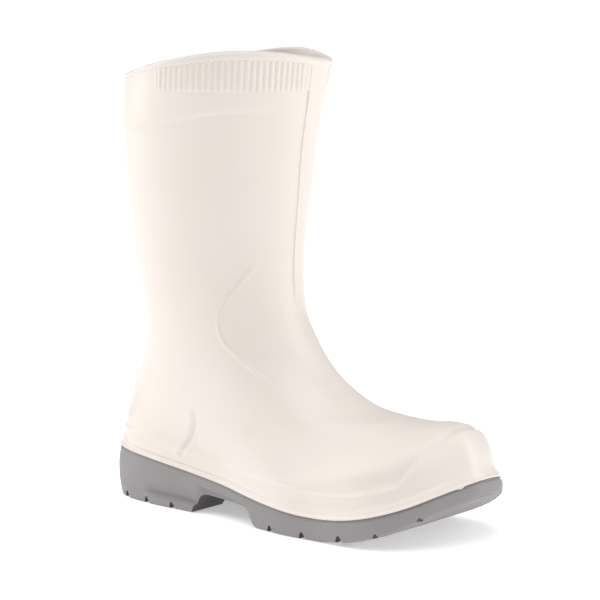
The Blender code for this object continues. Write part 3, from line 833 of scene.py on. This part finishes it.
class BOOT_OT_upper(bpy.types.Operator):
    """Shaft and foot in one moulding, with the rim, the reliefs and the lip over the sole"""

    bl_idname = "boot.upper"
    bl_label = "Upper"

    def execute(self, context):
        turn = upper_turns()
        rim_places = place_at(BOOT_HEIGHT - BEAD_HEIGHT * np.array([row[0] for row in COLLAR_PROFILE]))
        rim_offsets = np.array([row[1] * WALL + row[2] * BEAD_PROUD for row in COLLAR_PROFILE])
        rim = shell(rim_places, turn, rim_offsets[:, None])
        outer_rim, inner_rim = rim[:9], rim[9:]

        places = upper_places()
        plain = skin(places, turn)
        heights = relief(plain, turn)
        body = shell(places, turn, heights)

        plan = plan_outline(turn)
        lip = []
        for push, height in LIP_PROFILE:
            ring = pushed(plan, push * LIP_PROUD - tuck(plan[:, 1]))
            rise = feather_height(ring[:, 1]) + height * LIP_HEIGHT
            if height < 0.5:
                nub = bell(ring[:, 0] + 0.0154, 0.0012) * (ring[:, 1] < -0.10)
                rise = rise - 0.0010 * nub
                ring = ring + 0.0004 * nub[:, None] * np.array([0.0, -1.0, 0.0])
            lip.append(level(ring, rise))
        under = pushed(plan, -LIP_PROUD - WALL)
        under = level(under, feather_height(under[:, 1]) + GAP / 2)

        inner_places = np.arange(place_at(BOOT_HEIGHT - 0.010), PLACES[-1] - 0.006, 0.008)
        inner = shell(inner_places, turn, -WALL)
        stack = np.concatenate([
            outer_rim[::-1], body, np.array(lip), under[None], inner[::-1], inner_rim[::-1],
        ])
        piece = woven_grid("upper_moulding", stack, loop=True)
        kept = np.array([tuple(v.co) for v in piece.data.vertices])
        # Painted shade down the groove of the front seam: strongest just under the grip, fading out
        # towards the ankle.
        seam = bell(kept[:, 0] - sizes().seam_place, 0.0007) * (kept[:, 1] < 0.03)
        seam_painted_shade = 0.25 + 0.75 * eased((kept[:, 2] - 0.262) / 0.014)
        fade = eased((kept[:, 2] - 0.13) / 0.03) * (kept[:, 2] < 0.297)
        write_painted_shade(piece, seam_painted_shade * seam * fade)
        finish_piece(piece, "upper", upper_material())
        return {"FINISHED"}


def rib_turns():
    """Columns of the grip band, evenly spaced along the rim, and the rib that each belongs to."""
    fine = even_turns(3600)
    place = np.array([place_at(BOOT_HEIGHT - BEAD_HEIGHT - BAND_HEIGHT / 2)])
    ring = skin(place, fine)[0]
    steps = np.linalg.norm(np.roll(ring, -1, axis=0) - ring, axis=1)
    along = np.concatenate([[0], np.cumsum(steps)])
    count = round(along[-1] / sizes().rib_pitch)
    marks = np.arange(count * 8) / (count * 8) * along[-1]
    turn = np.interp(marks, along, np.append(fine, 2 * math.pi))
    return turn, np.arange(count * 8) / 8


class BOOT_OT_grip(bpy.types.Operator):
    """Ribs of the finger grip that run from the rim bead down to the shaft"""

    bl_idname = "boot.grip"
    bl_label = "Grip ribs"

    def execute(self, context):
        turn, rib = rib_turns()
        degrees = np.degrees(turn)
        outer_side = eased((degrees - 84) / 6) * (1 - eased((degrees - 178.6) / 1.4))
        inner_side = eased((degrees - 204) / 4) * (1 - eased((degrees - 272) / 6))
        strength = np.maximum(outer_side, inner_side)
        wave = 0.5 + 0.5 * np.cos(2 * math.pi * rib)
        wave = wave**0.45
        drops = np.array([0.0, 0.03, 0.08, 0.2, 0.4, 0.6, 0.8, 0.88, 0.94, 0.98, 1.0])
        envelope = np.array([1.0, 1.0, 1.0, 1.0, 1.0, 1.0, 1.0, 0.92, 0.70, 0.30, 0.0])
        top = BEAD_HEIGHT * 0.9
        places = place_at(BOOT_HEIGHT - top - drops * (BAND_HEIGHT - 0.1 * BEAD_HEIGHT))
        proud = envelope[:, None] * (wave * strength)[None, :] * sizes().rib_proud
        outer = shell(places, turn, proud - 0.00025)
        inner = shell(places[::-1], turn, -0.0012)
        piece = woven_grid("grip_ribs", np.concatenate([outer, inner]), loop=True)
        finish_piece(piece, None, bpy.data.materials["white polyurethane skin"])
        return {"FINISHED"}


class BOOT_OT_lining(bpy.types.Operator):
    """Knitted lining bonded to the inside of the shaft and the foot"""

    bl_idname = "boot.lining"
    bl_label = "Lining"

    def execute(self, context):
        turn = even_turns(LINING_COLUMNS)
        places = np.arange(place_at(BOOT_HEIGHT - 0.012), PLACES[-1] - 0.008, 0.005)
        outer = shell(places, turn, -WALL - 0.00005)
        depth = np.full(len(places), 0.0008)
        depth[0] = 0.0004
        inner = shell(places + 0.0003, turn, -WALL - depth[:, None])
        piece = woven_grid("lining", np.concatenate([outer, inner[::-1]]), loop=True)
        add_uv(
            piece,
            lambda p: np.arctan2(p[:, 0], p[:, 1] - 0.06) * 0.055,
            lambda p: p[:, 2] - 0.5 * p[:, 1],
        )
        material = cloth_material("knitted lining", tuple(colours().lining), 900.0)
        finish_piece(piece, None, material)
        return {"FINISHED"}


# Down the side of the sole: share of the face's height, drop at its top, inset of the neck, bulge,
# ledge of the heel's lugs, rounding of the lower edge and share of the heel's tuck
SoleRow = namedtuple("SoleRow", "share drop inset bulge ledge edge tuck")
SOLE_PROFILE = [SoleRow(*row) for row in (
    (0, 0, 1, 0, 0, 0, 1), (0, 0.45, 1, 0, 0, 0, 1),
    (0, 0.75, 0.85, 0, 0, 0, 1), (0, 1, 0.45, 0, 0, 0, 1),
    (0, 1.25, 0.12, 0.05, 0, 0, 0.98), (0.03, 1.5, 0, 0.14, 0, 0, 0.9),
    (0.1, 1.5, 0, 0.36, 0, 0, 0.66), (0.2, 1.5, 0, 0.55, 0, 0, 0.36),
    (0.26, 1.5, 0, 0.6, 0, 0, 0.24), (0.32, 1.5, 0, 0.62, 0, 0, 0.14),
    (0.48, 1.5, 0, 0.58, -0.2, 0, 0.02), (0.6, 1.5, 0, 0.5, -0.6, 0, 0.02),
    (0.68, 1.5, 0, 0.44, -0.95, 0, 0.08), (0.715, 1.5, 0, 0.4, -1, 0, 0.14),
    (0.735, 1.5, 0, 0.38, -0.6, 0, 0.18), (0.755, 1.5, 0, 0.36, 0.25, 0, 0.22),
    (0.775, 1.5, 0, 0.34, 0.8, 0, 0.28), (0.8, 1.5, 0, 0.3, 0.95, 0, 0.36),
    (0.86, 1.5, 0, 0.2, 0.85, 0.05, 0.55), (0.91, 1.5, 0, 0.1, 0.7, 0.25, 0.75),
    (0.95, 1.5, 0, 0.02, 0.55, 0.65, 0.9), (0.98, 1.5, 0, 0, 0.35, 1.2, 1),
    (1, 1.5, 0, 0, 0.15, 2, 1),
)]
HEEL_FACE = SOLE_LENGTH / 2 - HEEL_FRONT
TOE_NOTCH_LOSS = 0.45
EDGE_ROUND = 0.0010
WAIST_INSET = 0.0024
WAIST_TOP = 0.24
LUG_LEDGE = 1.9
LUG_START = 0.046
WAIST_START = 0.100
WAIST_END = 0.140


def heel_share(y):
    """1 along the heel block, falling to 0 where the forefoot starts."""
    return np.clip((FOREFOOT_REAR - SOLE_LENGTH / 2 + y) / (FOREFOOT_REAR - HEEL_FRONT), 0, 1)


def lug_share(y):
    """Share of the lugs' ledge: it starts at the heel's second notch and runs to its front."""
    ahead = SOLE_LENGTH / 2 - y
    return eased((ahead - LUG_START) / 0.010) * heel_share(y)


def waist_share(y):
    """Share of the inset along the waist's lower side, between the heel block and the forefoot."""
    ahead = SOLE_LENGTH / 2 - y
    return eased((ahead - WAIST_START) / 0.005) * (1 - eased((ahead - WAIST_END) / 0.016))


def drawn_to_middle(ring, share):
    """The ring with its points drawn in towards the line down the middle of the foot."""
    across = np.roll(ring[::-1], 1, axis=0)
    middle = (ring[:, 1] + across[:, 1]) / 2
    return np.column_stack([share * ring[:, 0], middle + share * (ring[:, 1] - middle), ring[:, 2]])


def sole_stack(turn):
    """Rings of the sole from the middle of its top, down its side, to the middle of its tread."""
    plan = plan_outline(turn)
    rings = []
    for row in SOLE_PROFILE:
        push = row.bulge * LEDGE_PROUD - row.inset * NECK_INSET - row.tuck * tuck(plan[:, 1])
        push = push + LUG_LEDGE * row.ledge * LEDGE_PROUD * lug_share(plan[:, 1])
        push = push - WAIST_INSET * waist_share(plan[:, 1]) * (row.share > WAIST_TOP)
        push = push - row.edge * EDGE_ROUND * (1 - 0.6 * heel_share(plan[:, 1]))
        ring = pushed(plan, push)
        top = feather_height(ring[:, 1]) - GAP / 2 - row.drop * NECK_HEIGHT
        bottom = tread_height(plan[:, 1])
        rings.append(level(ring, top + row.share * (bottom - top)))
    top_rows, low_rows = [], []
    for share in (0.0, 0.35, 0.7, 0.9):
        ring = drawn_to_middle(rings[0], share)
        top_rows.append(level(ring, feather_height(ring[:, 1]) - GAP / 2))
        ring = drawn_to_middle(rings[-1], share)
        low_rows.append(level(ring, tread_height(ring[:, 1])))
    return np.array(top_rows + rings + low_rows[::-1])


def add_cutter(name, profile, start, stop):
    """A bar across the foot from start to stop, extruded from its outline in the side view."""
    deselect()
    bpy.ops.mesh.primitive_circle_add(vertices=len(profile), radius=0.01, fill_type="NGON")
    cutter = one_object(name)
    for vertex, (y, z) in zip(cutter.data.vertices, profile):
        vertex.co = (start, y, z)
    bpy.ops.object.mode_set(mode="EDIT")
    bpy.ops.mesh.select_all(action="SELECT")
    bpy.ops.mesh.extrude_region_move(TRANSFORM_OT_translate={"value": (stop - start, 0, 0)})
    bpy.ops.mesh.select_all(action="SELECT")
    bpy.ops.mesh.normals_make_consistent(inside=False)
    bpy.ops.object.mode_set(mode="OBJECT")
    return cutter


def cut_away(piece, cutter):
    deselect()
    bpy.context.view_layer.objects.active = piece
    piece.select_set(True)
    cut = piece.modifiers.new(cutter.name, "BOOLEAN")
    cut.operation, cut.solver, cut.object = "DIFFERENCE", "EXACT", cutter
    before = (len(piece.data.polygons), len(piece.data.vertices))
    bpy.ops.object.modifier_apply(modifier=cut.name)
    if (len(piece.data.polygons), len(piece.data.vertices)) == before:
        raise RuntimeError(cutter.name + " cut nothing")
    if len(piece.data.loops) != 2 * len(piece.data.edges):
        raise RuntimeError(cutter.name + " left " + piece.name + " open")
    bpy.data.objects.remove(cutter)


def arch_profile():
    """Space under the waist, between the heel block and the rounded rear of the forefoot."""
    forefoot = SOLE_LENGTH / 2 - FOREFOOT_REAR
    front_height = ARCH_HEIGHT - ARCH_FALL
    shape = [(HEEL_FACE, -BALL_SIDE)]
    for run, height in ((0, 0), (0.1, 0.05), (0.85, 0.82), (1, 0.93), (1.25, 0.99), (1.6, 1)):
        shape.append((HEEL_FACE - run * HEEL_SLANT, height * ARCH_HEIGHT))
    for run, height in (
        (1.20, 1.02), (1.00, 0.94), (0.88, 0.84), (0.74, 0.68), (0.56, 0.44), (0.40, 0.25),
        (0.24, 0.10), (0.10, 0.02), (0.0, 0.0),
    ):
        shape.append((forefoot + run * FOREFOOT_SLANT, height * front_height))
    shape.append((forefoot, -BALL_SIDE))
    return shape


def channel_profile():
    """Hollow in the middle of the heel block's front, open to the arch and to the floor."""
    back = HEEL_FACE + CHANNEL_REACH
    front = HEEL_FACE - 1.40 * HEEL_SLANT
    rise = (back - 0.3 * CHANNEL_HEIGHT, CHANNEL_HEIGHT)
    return [(back, -BALL_SIDE), (back, 0.0), rise, (front, CHANNEL_HEIGHT), (front, -BALL_SIDE)]


def notch_size(y):
    """Share of the full size of a notch: the ones under the toe are smaller."""
    return 1 - TOE_NOTCH_LOSS * eased((-y - 0.08) / 0.04)


def notch_profile(y):
    floor = float(tread_height(y))
    half, depth = notch_size(y) * NOTCH_WIDTH / 2, notch_size(y) * NOTCH_DEPTH
    steps = ((1, 0), (0.62, 0.60), (0.28, 0.95))
    back = [(y + run * half, floor + rise * depth) for run, rise in steps]
    front = [(y - run * half, floor + rise * depth) for run, rise in steps[::-1]]
    low = floor - NOTCH_DEPTH
    return [(y + half, low), *back, *front, (y - half, low)]


def side_at(y, side):
    """Where the plan outline runs on one side of the foot, -1 outer or +1 inner, across from y."""
    plan = plan_outline(even_turns(SOLE_COLUMNS))
    plan = plan[side * plan[:, 0] > 0]
    order = np.argsort(plan[:, 1])
    return float(np.interp(y, plan[order, 1], plan[order, 0]))


def write_painted_wall_shade(piece):
    """Marks the walls of the arch, the channel and the notches, which are cut straight, with painted
    shade for the sole's colour.
    """
    shade = []
    for face in piece.data.polygons:
        side = side_at(face.center.y, 1 if face.center.x > 0 else -1)
        across = abs(face.normal.x) > 0.999 and abs(face.center.x) < abs(side) - 0.002
        cut = across or abs(face.normal.x) < 0.001
        inside = face.center.z > tread_height(face.center.y) + 0.0002
        shade.append(1.0 if cut and inside and face.normal.z < 0.9 else 0.0)
    layer = piece.data.attributes.new("recess", "FLOAT", "FACE")
    layer.data.foreach_set("value", shade)


class BOOT_OT_outsole(bpy.types.Operator):
    """Grey sole with its neck, heel ledge, waist, arch, heel channel and side notches"""

    bl_idname = "boot.outsole"
    bl_label = "Outsole"

    def execute(self, context):
        turn = even_turns(SOLE_COLUMNS)
        piece = woven_grid("outsole_moulding", sole_stack(turn), loop=False)
        half = CHANNEL_WIDTH / 2
        cut_away(piece, add_cutter("arch_cutter", arch_profile(), -BALL_WIDTH, BALL_WIDTH))
        cut_away(piece, add_cutter("channel_cutter", channel_profile(), -half, half))
        for i, share in enumerate(NOTCHES):
            y = SOLE_LENGTH * (0.5 - share)
            reach = notch_size(y) ** 2 * NOTCH_REACH
            spans = {
                "outer": (-BALL_WIDTH, side_at(y, -1) + reach),
                "inner": (side_at(y, 1) - reach, BALL_WIDTH),
            }
            for side, span in spans.items():
                cut_away(piece, add_cutter(f"{side}_cutter_{i + 1}", notch_profile(y), *span))
        # Painted shade on the cut walls, stored for the sole's material.
        write_painted_wall_shade(piece)
        finish_piece(piece, "outsole", sole_material(), angle=35)
        return {"FINISHED"}


# Rolled edge of the footbed: distance out from its outline, and share of its height
FOOTBED_EDGE = [
    (-0.004, 1.0), (-0.0018, 1.0), (-0.0009, 0.93), (-0.0003, 0.75), (0.0, 0.5), (0.0, 0.1),
    (-0.0004, 0.0),
]


def narrowed(ring, plan, share):
    """The ring drawn in towards a line down the middle of the foot, shorter than the plan."""
    found = ring * np.array([share, 1.0, 1.0])
    found[:, 1] = plan[:, 1] * 0.93 + share * (ring[:, 1] - plan[:, 1] * 0.93)
    return found


class BOOT_OT_insole(bpy.types.Operator):
    """Loose cloth-covered footbed with a soft rolled edge"""

    bl_idname = "boot.insole"
    bl_label = "Footbed"

    def execute(self, context):
        turn = even_turns(FOOTBED_COLUMNS)
        plan = plan_outline(turn)
        rows = []
        for share in (0.0, 0.3, 0.6, 0.85):
            ring = pushed(plan, -LIP_PROUD - WALL - INSOLE_CLEARANCE - 0.005)
            ring = narrowed(ring, plan, share)
            rows.append(level(ring, feather_height(ring[:, 1]) + INSOLE_THICKNESS - 0.0004))
        for push, height in FOOTBED_EDGE:
            ring = pushed(plan, -LIP_PROUD - WALL - INSOLE_CLEARANCE + push)
            rise = GAP / 2 + height * (INSOLE_THICKNESS - GAP / 2)
            rows.append(level(ring, feather_height(ring[:, 1]) + rise))
        low = rows[-1]
        for share in (0.6, 0.0):
            ring = narrowed(low, plan, share)
            rows.append(level(ring, feather_height(ring[:, 1]) + GAP / 2))
        piece = woven_grid("footbed", np.array(rows), loop=False)
        add_uv(piece, lambda p: p[:, 0], lambda p: p[:, 1])
        material = cloth_material("footbed cloth", tuple(colours().footbed), 700.0)
        finish_piece(piece, "insole", material)
        return {"FINISHED"}


# Stage


def camera_axes(stage):
    a, e = stage.azimuth, stage.elevation
    back = Vector((math.sin(a) * math.cos(e), -math.cos(a) * math.cos(e), math.sin(e)))
    right = Vector((math.cos(a), math.sin(a), 0.0))
    return right, back.cross(right), back


# Softboxes: distance to the right of the boot, height, distance towards the camera, and power
SOFTBOXES = {"left_softbox": (-1.5, 0.85, -0.50, 13.0), "right_softbox": (1.55, 0.80, 0.15, 12.0)}
SOFTBOX_WIDTH = 1.1
SOFTBOX_HEIGHT = 1.8
SOFTBOX_COLOUR = (1, 0.995, 0.985)
OVERHEAD_POWER = 1.58
OVERHEAD_SPREAD = math.radians(60)
OVERHEAD_COLOUR = (1, 0.99, 0.98)
FLOOR_GLOW = 0.40
WORLD_LIGHT = 0.35
BOOT_MIDDLE = Vector((0, 0, 0.15))


def add_softbox(name, stage, aside, up, ahead, power):
    """A softbox placed along the camera's axes and turned to the middle of the boot."""
    right, _, back = camera_axes(stage)
    level_back = Vector((back.x, back.y, 0)).normalized()
    place = right * aside + Vector((0, 0, up)) + level_back * ahead
    data = bpy.data.lights.new(name, "AREA")
    data.shape, data.size, data.size_y = "RECTANGLE", SOFTBOX_WIDTH, SOFTBOX_HEIGHT
    data.energy, data.color = power, SOFTBOX_COLOUR
    light = bpy.data.objects.new(name, data)
    bpy.context.scene.collection.objects.link(light)
    light.location = place
    light.rotation_euler = (BOOT_MIDDLE - place).to_track_quat("-Z", "Y").to_euler()


def add_overhead(stage):
    """Broad soft light from above, a little from the left and the front."""
    right, _, back = camera_axes(stage)
    data = bpy.data.lights.new("overhead_sheet", "SUN")
    data.energy, data.angle, data.color = OVERHEAD_POWER, OVERHEAD_SPREAD, OVERHEAD_COLOUR
    light = bpy.data.objects.new("overhead_sheet", data)
    bpy.context.scene.collection.objects.link(light)
    source = right * -0.10 + back * 0.30 + Vector((0, 0, 1.0))
    light.rotation_euler = source.to_track_quat("Z", "Y").to_euler()


class BOOT_OT_stage(bpy.types.Operator):
    """Camera, pale floor and soft studio light"""

    bl_idname = "boot.stage"
    bl_label = "Stage"

    def execute(self, context):
        stage = context.scene.boot_stage
        right, up, back = camera_axes(stage)
        aim = right * stage.aim_aside + Vector((0, 0, stage.aim_height))
        roll = Matrix.Rotation(stage.roll, 3, back)
        right, up = roll @ right, roll @ up
        data = bpy.data.cameras.new("camera")
        data.sensor_fit = "HORIZONTAL"
        data.lens = data.sensor_width * stage.distance / stage.frame_width
        data.clip_start, data.clip_end = 0.05, 50.0
        camera = bpy.data.objects.new("camera", data)
        context.scene.collection.objects.link(camera)
        turned = Matrix((right, up, back)).transposed().to_4x4()
        turned.translation = aim + back * stage.distance
        camera.matrix_world = turned
        context.scene.camera = camera

        deselect()
        bpy.ops.mesh.primitive_plane_add(size=24.0, location=(0, 0, 0))
        floor = one_object("floor")
        material, _, _, shader = new_material("pale floor")
        set_inputs(shader, {
            "Base Color": (*colours().floor, 1.0), "Roughness": 0.9, "Specular IOR Level": 0.1,
            "Emission Color": (1, 1, 1, 1), "Emission Strength": FLOOR_GLOW,
        })
        floor.data.materials.append(material)

        world = bpy.data.worlds.new("studio")
        world.use_nodes = True
        light = {"Color": (1, 1, 1, 1), "Strength": WORLD_LIGHT}
        set_inputs(world.node_tree.nodes["Background"], light)
        context.scene.world = world
        context.scene.view_settings.view_transform = "Standard"
        for name, place in SOFTBOXES.items():
            add_softbox(name, stage, *place)
        add_overhead(stage)
        return {"FINISHED"}


class BOOT_PT_panel(bpy.types.Panel):
    """Sizes, colours and operators of the work boot"""

    bl_label = "Work boot"
    bl_space_type = "VIEW_3D"
    bl_region_type = "UI"
    bl_category = "Work boot"

    def draw(self, context):
        layout = self.layout
        for group in (context.scene.boot_sizes, context.scene.boot_colours, context.scene.boot_stage):
            box = layout.box()
            for name in group.__annotations__:
                box.prop(group, name)
        for operator in PIECES:
            layout.operator(operator.bl_idname)


PIECES = (BOOT_OT_upper, BOOT_OT_grip, BOOT_OT_lining, BOOT_OT_outsole, BOOT_OT_insole, BOOT_OT_stage)
CLASSES = (BootSizes, BootColours, StageSettings, *PIECES, BOOT_PT_panel)


def register():
    for item in CLASSES:
        bpy.utils.register_class(item)
    bpy.types.Scene.boot_sizes = PointerProperty(type=BootSizes)
    bpy.types.Scene.boot_colours = PointerProperty(type=BootColours)
    bpy.types.Scene.boot_stage = PointerProperty(type=StageSettings)


def unregister():
    del bpy.types.Scene.boot_sizes
    del bpy.types.Scene.boot_colours
    del bpy.types.Scene.boot_stage
    for item in reversed(CLASSES):
        bpy.utils.unregister_class(item)


def main():
    register()
    for piece in ("upper", "grip", "lining", "outsole", "insole", "stage"):
        getattr(bpy.ops.boot, piece)()


if __name__ == "__main__":
    main()
